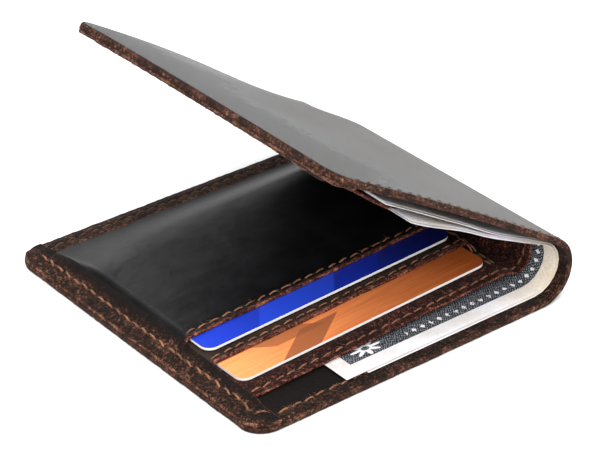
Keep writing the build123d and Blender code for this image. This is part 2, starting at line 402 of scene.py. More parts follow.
def blend_colours(tree, factor, a, b, mode="MIX"):
    mix = node(tree, "Mix", {0: factor, 6: a, 7: b}, data_type="RGBA", blend_type=mode)
    return mix.outputs[2]


def bump(tree, height, strength, distance, under=None):
    values = {"Height": height, "Strength": strength, "Distance": distance}
    if under is not None:
        values["Normal"] = under
    return node(tree, "Bump", values).outputs[0]


def suede(name, dark, middle, light, tips, fuzz=1.0):
    """Flesh side and raw edges of leather: mottled, matt, with short lighter fibres."""
    made, tree, shader = material(name, Sheen_Weight=0.02, Sheen_Roughness=0.6,
                                  Specular_IOR_Level=0.08)
    spot = flat_spot(tree)
    broad = speckle(tree, spot, 0.25, 4, 0.6, 0.4)
    fine = speckle(tree, spot, 1.1, 4, 0.75, 0.6)
    fibres = speckle(tree, flat_spot(tree, (1.0, 0.4, 1.0), 0.5), 2.7, 3, 0.65, 1.3)
    cross = speckle(tree, flat_spot(tree, (0.4, 1.0, 1.0), -0.4), 2.5, 3, 0.65, 1.3)
    weave = maths(tree, "MAXIMUM", fibres, cross)
    mixed = maths(tree, "MULTIPLY_ADD", fine, 1.1, maths(tree, "MULTIPLY", broad, 0.4))
    mixed = maths(tree, "MULTIPLY_ADD", weave, 1.15, maths(tree, "SUBTRACT", mixed, 0.93))
    tone = node(tree, "Attribute", attribute_name="tone").outputs["Fac"]
    level = maths(tree, "ADD", mixed, maths(tree, "MULTIPLY_ADD", tone, 0.5, -0.25))
    colour = ramp(tree, level, (0.38, dark), (0.5, middle), (0.62, light), (0.74, tips))
    tree.links.new(colour, shader.inputs["Base Color"])
    rough = node(tree, "MapRange", {"Value": fine, "From Min": 0.3, "From Max": 0.7,
                                    "To Min": 0.72, "To Max": 0.95}).outputs[0]
    tree.links.new(rough, shader.inputs["Roughness"])
    relief = maths(tree, "MULTIPLY_ADD", weave, 0.7, maths(tree, "MULTIPLY", fine, 0.6))
    tree.links.new(bump(tree, relief, 0.75 * fuzz, 0.0005), shader.inputs["Normal"])
    return made


def grain(name, base, worn_and_sheen, low_gloss, high_gloss, scale=1.0, shine=(0.3, 0.5), depth=1.0,
          creases=0.0):
    """Smooth waxed grain leather: fine pores and creases, a satin shine that varies."""
    made, tree, shader = material(name)
    spot = flat_spot(tree)
    cloud = speckle(tree, spot, 0.05, 4, 0.6, 0.3)
    streak = speckle(tree, flat_spot(tree, (0.12, 1.0, 1.0), 0.35), 0.9, 4, 0.6, 0.6)
    pores = node(tree, "TexVoronoi", {"Vector": spot, "Scale": 2.6 * scale, "Randomness": 1.0},
                 feature="DISTANCE_TO_EDGE").outputs["Distance"]
    fine = speckle(tree, spot, 5.0 * scale, 3, 0.6)
    tone = node(tree, "Attribute", attribute_name="tone").outputs["Fac"]
    # The lighter colour comes from random streaks and clouds, which are wear, and from the tone
    # attribute, which on the shell's outside is painted sheen.
    wear_and_sheen = maths(tree, "MULTIPLY_ADD", streak, 0.2, maths(tree, "MULTIPLY", cloud, 0.3))
    wear_and_sheen = maths(tree, "ADD", wear_and_sheen, maths(tree, "MULTIPLY_ADD", tone, 0.8, -0.15))
    tree.links.new(ramp(tree, wear_and_sheen, (0.35, base), (0.75, worn_and_sheen)), shader.inputs["Base Color"])
    gloss = node(tree, "MapRange", {"Value": wear_and_sheen, "From Min": 0.3, "From Max": 0.7,
                                    "To Min": low_gloss, "To Max": high_gloss}).outputs[0]
    tree.links.new(gloss, shader.inputs["Roughness"])
    shiny = node(tree, "MapRange", {"Value": wear_and_sheen, "From Min": 0.25, "From Max": 0.75,
                                    "To Min": shine[0], "To Max": shine[1]}).outputs[0]
    tree.links.new(shiny, shader.inputs["Specular IOR Level"])
    cells = node(tree, "MapRange", {"Value": pores, "From Min": 0.0, "From Max": 0.12}).outputs[0]
    relief = maths(tree, "MULTIPLY_ADD", cells, 0.35, maths(tree, "MULTIPLY", fine, 0.5))
    relief = maths(tree, "MULTIPLY_ADD", streak, creases, relief)
    tree.links.new(bump(tree, relief, 0.35 * depth, 0.0002), shader.inputs["Normal"])
    return made


def twisted_thread(name, dark, light):
    made, tree, shader = material(name, Sheen_Weight=0.05, Sheen_Roughness=0.5, Roughness=0.75,
                                  Specular_IOR_Level=0.25)
    spot = node(tree, "TexCoord").outputs["Object"]
    strands = speckle(tree, spot, 2600.0, 3, 0.6, 0.5)
    patch = speckle(tree, spot, 260.0, 3, 0.6)
    level = maths(tree, "MULTIPLY_ADD", strands, 0.5, maths(tree, "MULTIPLY", patch, 0.5))
    tree.links.new(ramp(tree, level, (0.38, dark), (0.62, light)), shader.inputs["Base Color"])
    tree.links.new(bump(tree, strands, 0.6, 0.0002), shader.inputs["Normal"])
    return made


def card_print(name, node_name, left, right, accents, core="f2f0ee", gloss=0.22, brushed=0.0):
    """A printed card: white core at its edges, a colour that deepens to the right, two shapes."""
    made, tree, shader = material(name, Coat_Weight=0.25, Coat_Roughness=0.12)
    low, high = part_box(node_name)
    where = node(tree, "TexCoord").outputs
    axes = node(tree, "SeparateXYZ", {0: where["Object"]}).outputs
    across = node(tree, "MapRange", {"Value": axes[0], "From Min": low.x, "From Max": high.x}).outputs[0]
    deep = node(tree, "MapRange", {"Value": axes[1], "From Min": low.y, "From Max": high.y}).outputs[0]
    colour = ramp(tree, across, (0.05, left), (0.95, right))
    if brushed:
        lines = node(tree, "Mapping", {"Vector": where["Object"], "Scale": (60, 2600, 600)}).outputs[0]
        hair = speckle(tree, lines, 1.0, 4, 0.7)
        colour = blend_colours(tree, brushed, colour,
                               ramp(tree, hair, (0.35, "4a4038"), (0.65, "c4b4a4")), "SOFT_LIGHT")
    for shape, shade, strength in accents:
        mask = shape(tree, across, deep)
        colour = blend_colours(tree, maths(tree, "MULTIPLY", mask, strength), colour, hex_colour(shade))
    dust = speckle(tree, where["Object"], 900.0, 4, 0.6)
    colour = blend_colours(tree, 0.25, colour, ramp(tree, dust, (0.3, "7a7a7a"), (0.7, "868686")),
                           "OVERLAY")
    facing = node(tree, "SeparateXYZ", {0: where["Normal"]}).outputs[2]
    flat_face = maths(tree, "GREATER_THAN", maths(tree, "ABSOLUTE", facing), 0.7)
    colour = blend_colours(tree, flat_face, hex_colour(core), colour)
    tree.links.new(colour, shader.inputs["Base Color"])
    rough = node(tree, "MapRange", {"Value": dust, "From Min": 0.3, "From Max": 0.7,
                                    "To Min": gloss, "To Max": gloss + 0.05}).outputs[0]
    tree.links.new(rough, shader.inputs["Roughness"])
    tree.links.new(bump(tree, dust, 0.02, 0.0001), shader.inputs["Normal"])
    return made


def slanted_band(start, width, slope):
    """A straight band across a card, leaning by slope."""
    def shape(tree, across, deep):
        shifted = maths(tree, "SUBTRACT", across, maths(tree, "MULTIPLY_ADD", deep, slope, start))
        inside = maths(tree, "COMPARE", shifted, width / 2, width / 2)
        return inside
    return shape


def slanted_block(start, width, slope, deep_low, deep_high):
    """The part of a slanted band that lies between two depths."""
    def shape(tree, across, deep):
        band = slanted_band(start, width, slope)(tree, across, deep)
        middle, half = (deep_low + deep_high) / 2, (deep_high - deep_low) / 2
        return maths(tree, "MULTIPLY", band, maths(tree, "COMPARE", deep, middle, half))
    return shape


def note_paper(name, printed):
    """Banknote paper: cream, soft and fibrous; printed adds a generic engraved border band."""
    made, tree, shader = material(name, Roughness=0.8, Specular_IOR_Level=0.3)
    spot = flat_spot(tree)
    fibre = speckle(tree, spot, 2.2, 5, 0.65, 0.5)
    stain = speckle(tree, spot, 0.06, 3, 0.6)
    level = maths(tree, "MULTIPLY_ADD", fibre, 0.35, maths(tree, "MULTIPLY", stain, 0.65))
    colour = ramp(tree, level, (0.36, "cac3bb"), (0.5, "dddadb"), (0.62, "ebe8ee"))
    axes = node(tree, "SeparateXYZ", {0: spot}).outputs
    off_bend = maths(tree, "ABSOLUTE", maths(tree, "SUBTRACT", axes[0], PANEL + ARC / 2))
    # The paper is creamier within about 26 mm of the bend's middle.
    creamier_near_bend = node(tree, "MapRange", {"Value": off_bend, "From Min": 6.0, "From Max": 26.0,
                                   "To Min": 0.55, "To Max": 0.0}).outputs[0]
    colour = blend_colours(tree, creamier_near_bend, colour, ramp(tree, fibre, (0.35, "c3ad86"), (0.65, "e6d9bd")))
    if printed:
        from_end = maths(tree, "SUBTRACT", axes[0], NOTE_START + 3.6)
        from_front = maths(tree, "SUBTRACT", axes[1], NOTE_FRONT + 4.2)
        inside = maths(tree, "MULTIPLY", maths(tree, "GREATER_THAN", from_end, 0.0),
                       maths(tree, "GREATER_THAN", from_front, 0.0))
        colour = blend_colours(tree, inside, colour, engraving(tree, spot, from_end, from_front))
    tree.links.new(colour, shader.inputs["Base Color"])
    tree.links.new(bump(tree, fibre, 0.25, 0.0002), shader.inputs["Normal"])
    return made


def engraving(tree, spot, from_end, from_front):
    """Fine wavy engraved lines, a row of small lozenges and a large rosette at the corner."""
    net = None
    for turn, size in ((0.6, 2.1), (-0.7, 2.4), (1.45, 1.3)):
        turned = node(tree, "Mapping", {"Vector": spot, "Rotation": (0, 0, turn)}).outputs[0]
        wave = node(tree, "TexWave", {"Vector": turned, "Scale": 1.0 / size, "Distortion": 5.0,
                                      "Detail": 2.0, "Detail Scale": 1.2}).outputs["Fac"]
        net = wave if net is None else maths(tree, "MULTIPLY_ADD", wave, 0.6,
                                             maths(tree, "MULTIPLY", net, 0.6))
    grains = speckle(tree, spot, 3.2, 3, 0.7)
    level = maths(tree, "MULTIPLY_ADD", grains, 0.7, maths(tree, "MULTIPLY", net, 0.45))
    ink = ramp(tree, level, (0.60, "0a0d12"), (0.72, "272d37"), (0.88, "b4b8be"))
    a = maths(tree, "DIVIDE", maths(tree, "SUBTRACT", from_end, 8.0), 5.4)
    d = maths(tree, "DIVIDE", maths(tree, "SUBTRACT", from_front, 3.6), 3.4)
    radius = maths(tree, "SQRT", maths(tree, "MULTIPLY_ADD", a, a, maths(tree, "MULTIPLY", d, d)))
    around = maths(tree, "COSINE", maths(tree, "MULTIPLY", maths(tree, "ARCTAN2", a, d), 8.0))
    petals = maths(tree, "LESS_THAN", radius, maths(tree, "MULTIPLY_ADD", around, 0.28, 0.66))
    ends = maths(tree, "MULTIPLY", petals, maths(tree, "GREATER_THAN", radius, 0.24))
    repeat = maths(tree, "PINGPONG", from_end, 1.5)
    up_down = maths(tree, "ABSOLUTE", maths(tree, "SUBTRACT", from_front, 2.3))
    lozenge = maths(tree, "LESS_THAN", maths(tree, "MULTIPLY_ADD", up_down, 0.8, repeat), 0.78)
    broken = maths(tree, "GREATER_THAN", speckle(tree, spot, 0.8, 2), 0.44)
    far_enough = maths(tree, "MULTIPLY", maths(tree, "GREATER_THAN", from_end, 21.0), broken)
    ends = maths(tree, "MAXIMUM", ends, maths(tree, "MULTIPLY", lozenge, far_enough))
    return blend_colours(tree, ends, ink, hex_colour("e6e4e8"))


SUEDE = suede("suede_brown", "0e0806", "27170f", "503427", "8c644d")
EDGE = suede("suede_edge", "1c100b", "38221a", "5f3d2f", "92664f", 1.2)
RED_SUEDE = suede("suede_red", "140806", "3c1b14", "723f31", "a26a56", 1.1)
GRAIN = grain("grain_outer", "0d0b0b", "2b221e", 0.27, 0.4, shine=(0.08, 0.62), depth=1.4, creases=0.6)
BLACK = grain("grain_pocket", "09090a", "16161a", 0.34, 0.44, 1.3, shine=(0.1, 0.26), depth=0.4)
BROWN = grain("grain_brown", "130b08", "3d251b", 0.4, 0.6, 0.8, shine=(0.1, 0.3), depth=1.4,
              creases=0.8)
THREAD = twisted_thread("thread_tan", "46291b", "9c6b4d")
# thread_dark is the tan thread made darker: on the back edge it is painted shade for stitches that sit
# in the groove.
DARK_THREAD = twisted_thread("thread_dark", "2a1a13", "64442f")
PAPER = note_paper("paper_plain", False)
PRINTED = note_paper("paper_printed", True)
BLUE_EDGE = material("paper_blue_edge", Roughness=0.7)


# ---------------------------------------------------------------- where the layers lie
def section_lift(a, d):
    """The lower liner's underside: it rises over the notes towards the spine, but not at the back."""
    back = 1 - 0.93 * smooth(d, 88.0, 103.5)
    rise = SECTION_SLOPE * np.clip(a, 0, SECTION_PEAK) * back
    round_bend = BEND_LIFT - GAP
    bending = smooth(a, SECTION_PEAK, SECTION_PEAK + 9.0)
    return GAP + rise * (1 - bending) + round_bend * bending


def liner_lift(a, d):
    """The whole liner's underside, with its sag on the cover and its wrinkles in the bend."""
    t = a - COVER_START
    hung = GAP + COVER_SLOPE * np.clip(TOTAL - a, 0, TOTAL)
    on_cover = BEND_LIFT + (hung - BEND_LIFT) * smooth(t, 0.0, COVER_RISE)
    sag = 3.4 * np.exp(-((t - 54) / 23) ** 2) * np.exp(-np.clip(d - LINER_FRONT, 0, 99) / 18)
    lower = section_lift(a, d)
    mixed = np.where(t > 0, on_cover + sag, lower)
    in_bend = smooth(a, PANEL - 4, PANEL + 4) * (1 - smooth(a, COVER_START - 2, COVER_START + 12))
    folds = 0.30 * np.clip(noise(a, d * 0.22, 2.6, 21), -0.4, 1) + 0.25 * noise(a, d, 6.0, 22)
    return mixed + in_bend * (0.25 + folds)


def note_lift(index):
    """One note's lift. Higher numbers lie further inside the fold."""
    droop = (2.3, 2.45, 2.6, 3.0, 3.15)[index]
    level = 0.20 + 0.19 * index

    def lift(a, d):
        t = a - COVER_START
        front = 1 - smooth(d, LINER_FRONT, LINER_FRONT + 12)
        roof = liner_lift(a, np.maximum(d, LINER_FRONT + 0.5)) - 0.35 - 0.19 * (4 - index)
        free = level + droop * smooth(t, -6, 26) + 1.8 * smooth(t, 30, 55) * (index > 2)
        in_front = free + 0.2 * noise(a, 0, 14.0, 40 + index // 3) * smooth(t, -4, 10)
        wave = 0.10 * noise(a, d, 17.0, 50 + index) * smooth(a, 40, 60) * front
        inside = np.minimum(free, np.maximum(roof, level))
        return np.where(t > -8, in_front * front + inside * (1 - front), level) + np.abs(wave)
    return lift


# ---------------------------------------------------------------- leather case
def edge_swell(a, d, channels, depth=0.16, width=0.9):
    """A sheet's top is pulled down along its seams and rounds off towards them."""
    down = 0.0
    for distance in channels(a, d):
        down = np.maximum(down, np.exp(-(distance / width) ** 2))
    return -depth * down


def shell_seams(a, d):
    return [d - SEAM_IN, DEPTH - SEAM_IN - d, a - SEAM_IN, TOTAL - SEAM_IN - a]


def shell_top(a, d):
    rim = np.minimum(np.minimum(d, DEPTH - d), np.minimum(a, TOTAL - a))
    pillow = 0.12 * np.exp(-((rim - 2.4) / 1.3) ** 2)
    lumps = 0.05 * noise(a, d, 2.2, 11) + 0.05 * noise(a, d, 0.9, 12)
    return edge_swell(a, d, shell_seams) + pillow + lumps * smooth(rim, 0, 1)


STRIPS = range(1, len(HINGES))
BODIES = ["root"] + [f"spine_{i}" for i in STRIPS] + ["cover"]
NOTE_BODIES = ["notes_lower"] + [f"notes_bend_{i}" for i in STRIPS] + ["notes_cover"]


def stretch_names(stem, lower=None, cover=None):
    def name(i):
        if i == 0:
            return lower or f"{stem}_lower"
        return f"{stem}_bend_{i}" if i < len(CUTS) else (cover or f"{stem}_cover")
    return name


def spine_nodes(stem, lower, cover):
    table = {i: (f"{stem}_spine_{i}",) for i in STRIPS}
    table[0], table[len(CUTS)] = lower, cover
    return table


def build_shell():
    flat, faces, side, rim = slab(
        (0, TOTAL), (0, DEPTH), SHELL, lambda a, d: np.full(np.shape(a), -SHELL), shell_top,
        (CORNER,) * 4, cell=1.1, edge=0.7, ragged=0.09, seed=100, rounds=(0.15, 1.0))
    a, d, lift = flat.T
    # Painted shade: the inner face is darker in from the seams, inside the compartments and under the
    # layers, where shade falls.
    painted_shade_inside = smooth(np.minimum(d, DEPTH - d), 4.4, 6.2) * smooth(a, 4.4, 6.0)
    tone = 0.5 + 0.08 * noise(a, d, 6, 13) - 0.62 * painted_shade_inside
    tone = np.where(rim > 0, 0.5 + 0.12 * noise(a, d, 3, 14), tone)
    near_edge = np.minimum(np.minimum(d, DEPTH - d), np.minimum(a, TOTAL - a))
    outside = lift < -SHELL + 0.01
    # The outside's tone is partly painted sheen and partly wear: its lighter, shinier stretches follow
    # where the leather reflects the light, it is darker along the back edge, its random clouds vary at
    # random, and its front edges are lighter where rubbed.
    sheen = 0.22 + 0.42 * smooth(TOTAL - a, 0, 62) - 0.16 * smooth(a, PANEL + 20, PANEL + 60) \
        + 0.10 * noise(a, d, 21, 15)
    sheen = sheen - 0.6 * np.exp(-(DEPTH - d) / 0.9) + 0.12 * np.exp(-((TOTAL - a - 62) / 26) ** 2)
    tone = np.where(outside, sheen + 0.30 * np.exp(-near_edge / 1.2) * (d < DEPTH / 2), tone)
    add_bent(stretch_names("shell"), flat, faces, side, [SUEDE, EDGE, GRAIN],
             BODIES, tone, spine_nodes("shell", ("shell_lower_panel",), ("shell_cover_panel",)))


def build_liner():
    flat, faces, side, rim = slab(
        (5.2, TOTAL - 5.2), (LINER_FRONT, DEPTH - 5.2), LINER, liner_lift,
        lambda a, d: 0.05 * noise(a, d, 1.2, 23) + 0.06 * noise(a, d, 3.4, 24)
        - 0.22 * np.exp(-((d - LINER_FRONT - MOUTH_SEAM) / 0.8) ** 2),
        (1.0, 1.0, 2.0, 2.0), cell=1.2, ragged=0.13, seed=120)
    a, d, lift = flat.T
    tone = 0.42 + 0.10 * noise(a, d, 7, 25)
    tone = np.where(rim > 0, 0.66 + 0.15 * noise(a, d, 2, 26), tone)
    add_bent(stretch_names("liner"), flat, faces, side, [RED_SUEDE],
             BODIES, tone, spine_nodes("liner", ("liner_lower",), ("liner_cover",)))


def strip(name, along, deep, thick, under, swell, materials, node_name, body, corners,
          tone_base=0.5, cell=0.8, ragged=0.10, seed=0, tone_more=None, edge=None,
          rounds=(1.0, 1.0), lip=0.0):
    flat, faces, side, rim = slab(along, deep, thick, under, swell, corners, cell, edge=edge,
                                  ragged=ragged, seed=seed, rounds=rounds)
    a, d, lift = flat.T
    side[(side == 0) & (d[faces].mean(1) < deep[0] + lip)] = 1
    tone = tone_base + 0.10 * noise(a, d, 4, seed + 1) + (tone_more(a, d) if tone_more else 0)
    raw = (rim > 0) | (d < deep[0] + lip)
    tone = np.where(raw, 0.70 + 0.12 * noise(a, d, 2, seed + 2), tone)
    return add_piece(name, flat, faces, side, materials, body, tone, (node_name,))


def pocket_side_rise(a, start, end, low_end):
    """How much of its height a pocket has at distance a: pinched at its two sewn sides."""
    return smooth(a, start, start + 4.8) * (1 - (1 - low_end) * smooth(a, end - 3.0, end))


def pocket_back_fall(d):
    """A pocket comes down to the liner at its sewn back."""
    return 1 - smooth(d, 81.0, DEPTH - BORDER + 2.0)


def front_pocket_under(a, d):
    side = pocket_side_rise(a, 5.2, 99.0, 0.42)
    t = np.clip((d - FRONT_MOUTH) / (DEPTH - BORDER - FRONT_MOUTH), 0, 1)
    crown = 0.9 * np.sin(pi * t) * smooth(a, 8.0, 24.0) + 0.10 * noise(a, d, 26, 61) * np.sin(pi * t)
    rise = (FRONT_LIFT - 0.84) * pocket_back_fall(d) + crown
    return section_lift(a, d) + 0.84 + rise * side


def middle_pocket_under(a, d):
    side = pocket_side_rise(a, 5.2, 99.0, 0.5)
    return section_lift(a, d) + 0.84 + (MIDDLE_LIFT - 0.84) * side * pocket_back_fall(d)


def mouth_swell(mouth, seed):
    """A pocket's mouth: its seam pulls it in, and its raw lip is a little thicker."""
    def swell(a, d):
        seam = -0.2 * np.exp(-((d - mouth - MOUTH_SEAM) / 0.7) ** 2)
        lip = 0.12 * np.exp(-((d - mouth - 0.7) / 0.7) ** 2)
        return seam + lip + 0.03 * noise(a, d, 1.1, seed)
    return swell


def border_swell(a, d, distance, groove=False):
    """distance is from the wallet's edge: round outer shoulder, pulled in along the seam."""
    shoulder = -0.35 * np.exp(-(distance / 1.1) ** 2)
    seam = -0.3 * np.exp(-((distance - SEAM_IN) / 0.8) ** 2)
    ridge = 0.18 * np.exp(-((distance - 2.4) / 1.1) ** 2)
    cut = -0.42 * np.exp(-((distance - 4.4) / 0.7) ** 2) if groove else 0.0
    return shoulder + (0 if groove else seam) + ridge + cut + 0.06 * noise(a, d, 1.3, 71)


def onto_shell(lift, distance):
    """A border's underside: up on the layers inside it, and down on the shell at its edge."""
    return 0.03 + (lift - 0.03) * smooth(distance, 1.4, 6.4)


def free_border_under(a, d):
    pockets = 0.6 * smooth(d, MIDDLE_MOUTH - 2, MIDDLE_MOUTH) \
        + 1.0 * smooth(d, FRONT_MOUTH - 2, FRONT_MOUTH)
    pockets = pockets * smooth(a, SEAM_IN, BORDER) * (1 - smooth(d, 92.0, 104.0))
    at_liner = smooth(d, LINER_FRONT - 6, LINER_FRONT)
    lift = GAP + (section_lift(a, d) + LINER + pockets) * at_liner
    return onto_shell(lift, np.minimum(a, DEPTH - d))


def back_border_under(a, d):
    return onto_shell(section_lift(a, d) + LINER + GAP, DEPTH - d)


def cover_free_under(a, d):
    at_liner = smooth(d, LINER_FRONT - 6, LINER_FRONT)
    return onto_shell(GAP + cover_under(LINER)(a, d) * at_liner, np.minimum(TOTAL - a, DEPTH - d))


def cover_back_under(a, d):
    return onto_shell(cover_under(LINER + GAP)(a, d), DEPTH - d)


def border_top(under, thick, distance, groove=False):
    """Where the top of a border lies, for its stitches."""
    return lambda a, d: under(a, d) + thick + border_swell(a, d, distance(a, d), groove)


def build_lower_layers():
    # The free border is painted darker from 5.4 mm in: painted shade on its inner part, which slopes up
    # to the pockets.
    strip("border_free_edge", (0.25, BORDER + 0.6), (0.25, DEPTH - 0.25), FREE_BORDER,
          free_border_under,
          lambda a, d: border_swell(a, d, a), [SUEDE, EDGE],
          "border_free_edge", "root", (6.6, 0.5, 0.5, 6.6), 0.52, 0.6, 0.08, 200,
          lambda a, d: -0.3 * smooth(a, 5.4, 6.4), 0.45, (1.0, 0.3))
    # The back border is painted darker in its groove 4.4 mm in, as painted shade, and darker along its
    # outer 2 mm.
    strip("border_back_edge", (BORDER + 0.2, 98.5), (DEPTH - BORDER, DEPTH - 0.25),
          BACK_BORDER, back_border_under, lambda a, d: border_swell(a, d, DEPTH - d, True),
          [SUEDE, EDGE], "border_back_edge", "root", (0.5, 1.5, 1.5, 0.5), 0.55,
          0.6, 0.08, 210, lambda a, d: -0.42 * np.exp(-((DEPTH - d - 4.4) / 0.8) ** 2)
          - 0.35 * smooth(d, DEPTH - 2.0, DEPTH - 1.2), 0.45, (1.0, 0.3))
    strip("pocket_middle", (7.6, 99.0), (MIDDLE_MOUTH, DEPTH - 9.5), POCKET, middle_pocket_under,
          mouth_swell(MIDDLE_MOUTH, 31), [BROWN, RED_SUEDE], "pocket_middle",
          "root", (0.8, 2.5, 0.8, 0.8), 0.45, 0.8, 0.12, 220,
          lambda a, d: 0.15 * np.exp(-((d - MIDDLE_MOUTH) / 1.2) ** 2), lip=1.15)
    strip("pocket_front", (7.0, 99.0), (FRONT_MOUTH, DEPTH - 6.4), POCKET, front_pocket_under,
          mouth_swell(FRONT_MOUTH, 32), [BLACK, RED_SUEDE], "pocket_front",
          "root", (0.8, 2.5, 0.8, 0.8), 0.4, 0.8, 0.10, 230, lip=0.8)


def cover_under(extra):
    def under(a, d):
        return liner_lift(a, np.maximum(d, LINER_FRONT)) + extra
    return under


def build_cover_layers():
    on_liner = LINER + GAP
    strip("cover_border_free_edge", (TOTAL - BORDER - 0.4, TOTAL - 0.25), (0.25, DEPTH - 0.25),
          FREE_BORDER, cover_free_under, lambda a, d: border_swell(a, d, TOTAL - a), [SUEDE, EDGE],
          "cover_border_free_edge", "cover", (0.5, 6.6, 6.6, 0.5), 0.5, 0.6, 0.08,
          300, None, 0.45, (1.0, 0.15))
    strip("cover_border_back_edge", (COVER_START + 4, TOTAL - BORDER - 0.6),
          (DEPTH - BORDER, DEPTH - 0.25), BACK_BORDER, cover_back_under,
          lambda a, d: border_swell(a, d, DEPTH - d, True), [SUEDE, EDGE],
          "cover_border_back_edge", "cover", (1.5, 0.5, 0.5, 1.5), 0.5, 0.8, 0.13,
          310, None, 0.45, (1.0, 0.3))
    strip("cover_pocket", (COVER_START + 6, TOTAL - BORDER), (COVER_MOUTH, DEPTH - BORDER + 0.4),
          POCKET, cover_under(on_liner + 0.1), mouth_swell(COVER_MOUTH, 33), [BLACK, RED_SUEDE],
          "cover_pocket", "cover", (2.0, 0.8, 0.8, 2.0), 0.4, 1.2, 0.10, 320)


# ---------------------------------------------------------------- notes
def build_notes():
    shifts = ((9.0, 0.0, 1.2), (5.5, -0.9, 0.6), (13.0, 0.5, 0.9), (2.0, 0.3, 1.4), (-1.6, -0.6, 0.0))
    ends = (5.0, 4.4, 3.6, -7.5, -7.0)
    parts, faces, sides, start = [], [], [], 0
    for index, ((late, forward, _), longer) in enumerate(zip(shifts, ends)):
        flat, quads, side, _ = slab(
            (NOTE_START + late, NOTE_START + NOTE_LENGTH + longer - 5),
            (NOTE_FRONT + forward, NOTE_FRONT + forward + NOTE_WIDTH), 0.12, note_lift(index),
            None, (0.2,) * 4, cell=2.4, edge=0.05, ragged=0.0, seed=400 + index)
        parts.append(flat)
        faces.append(quads + start)
        top = index == len(ends) - 1
        sides.append(np.where((side == 0) & top, 1, 0))
        start += len(flat)
    flat, faces, sides = np.concatenate(parts), np.concatenate(faces), np.concatenate(sides)
    table = {i: (f"notes_bend_{i}",) for i in STRIPS}
    table[0], table[len(CUTS)] = ("notes_lower",), ("notes_cover",)
    add_bent(stretch_names("note_stack"), flat, faces, sides, [PAPER, PRINTED],
             NOTE_BODIES, 0.5, table)


# ---------------------------------------------------------------- seams
def polyline(points, step=0.25):
    """Close-set points along straight runs, so that lengths can be read off."""
    out = []
    for a, b in zip(points, points[1:]):
        count = max(2, int(np.hypot(b[0] - a[0], b[1] - a[1]) / step))
        t = np.linspace(0, 1, count, endpoint=False)[:, None]
        out.append(np.array(a) + (np.array(b) - np.array(a)) * t)
    return np.concatenate(out + [np.array([points[-1]])])


def around_corner(centre, radius, start, end, count=24):
    """Points on an arc, from angle start to end in degrees."""
    angle = np.radians(np.linspace(start, end, count))
    return [(centre[0] + radius * cos(x), centre[1] + radius * sin(x)) for x in angle]


def seam(path, lift, seed, up=1, width=0.54, arch=0.23, length=STITCH, slant=7.0, fuzz=0,
         wobble=0.2, flatten=0.85):
    """Stitches along path as (points, faces), each a twisted thread that dips into its holes."""
    rng = np.random.default_rng(seed)
    line = polyline(path)
    walk = np.concatenate([[0], np.cumsum(np.hypot(*np.diff(line, axis=0).T))])
    count = max(1, int(walk[-1] / PITCH))
    at = (np.arange(count) + 0.5) * walk[-1] / count + rng.uniform(-0.15, 0.15, count)
    here = np.stack([np.interp(at, walk, line[:, k]) for k in (0, 1)], 1)
    ahead = np.stack([np.interp(at + 0.8, walk, line[:, k]) for k in (0, 1)], 1)
    behind = np.stack([np.interp(at - 0.8, walk, line[:, k]) for k in (0, 1)], 1)
    way = ahead - behind
    way /= np.linalg.norm(way, axis=1)[:, None]
    lean = np.radians(slant + rng.normal(0, 3.5, count))
    along = way[:, 0] * np.cos(lean) - way[:, 1] * np.sin(lean)
    deep = way[:, 0] * np.sin(lean) + way[:, 1] * np.cos(lean)
    here = here + rng.normal(0, wobble, here.shape) * 0.5
    lengths = length * rng.uniform(0.9, 1.08, count)
    reach = lengths / 2 * 0.8
    low = lift(here[:, 0] - along * reach, here[:, 1] - deep * reach)
    high = lift(here[:, 0] + along * reach, here[:, 1] + deep * reach)
    rise = (high - low) / (2 * reach)
    directions = np.stack([along, deep, rise], 1)
    directions /= np.linalg.norm(directions, axis=1)[:, None]
    height = np.maximum(lift(here[:, 0], here[:, 1]), (low + high) / 2) if up > 0 else \
        np.minimum(lift(here[:, 0], here[:, 1]), (low + high) / 2)
    roots = np.stack([here[:, 0], here[:, 1], height], 1)
    thread = tubes(roots, directions, lengths, np.full(count, width / 2), 3, 9.0, arch, 0.3, up,
                   flatten=flatten)
    if not fuzz:
        return thread
    total = count * fuzz
    share = rng.choice([-0.5, 0.5], total) * rng.uniform(0.35, 1.0, total)
    base = np.repeat(roots, fuzz, 0) + np.repeat(directions, fuzz, 0) * \
        (share * np.repeat(lengths, fuzz))[:, None]
    base[:, :2] += rng.normal(0, 0.25, (total, 2))
    base[:, 2] += 0.10 * up
    spin = rng.uniform(0, 2 * pi, total)
    lean_up = rng.uniform(0.0, 0.6, total) * up
    way = np.stack([np.cos(spin), np.sin(spin), lean_up], 1)
    way /= np.linalg.norm(way, axis=1)[:, None]
    hairs = tubes(base, way, rng.uniform(0.5, 1.9, total), rng.uniform(0.04, 0.075, total), rings=4,
                  sides=3, droop=0.3, up=up, flatten=1.0)
    return joined(thread, hairs)


def add_seam(name, part, body="root", replaced=(), material_used=None):
    flat, faces = part
    add_piece(name, flat, faces, np.zeros(len(faces), int), [material_used or THREAD], body,
              0.5, replaced)


def top_of_shell(a, d):
    return shell_top(np.asarray(a, float), np.asarray(d, float))


def outside_of_shell(a, d):
    return np.full(np.shape(a), -SHELL)


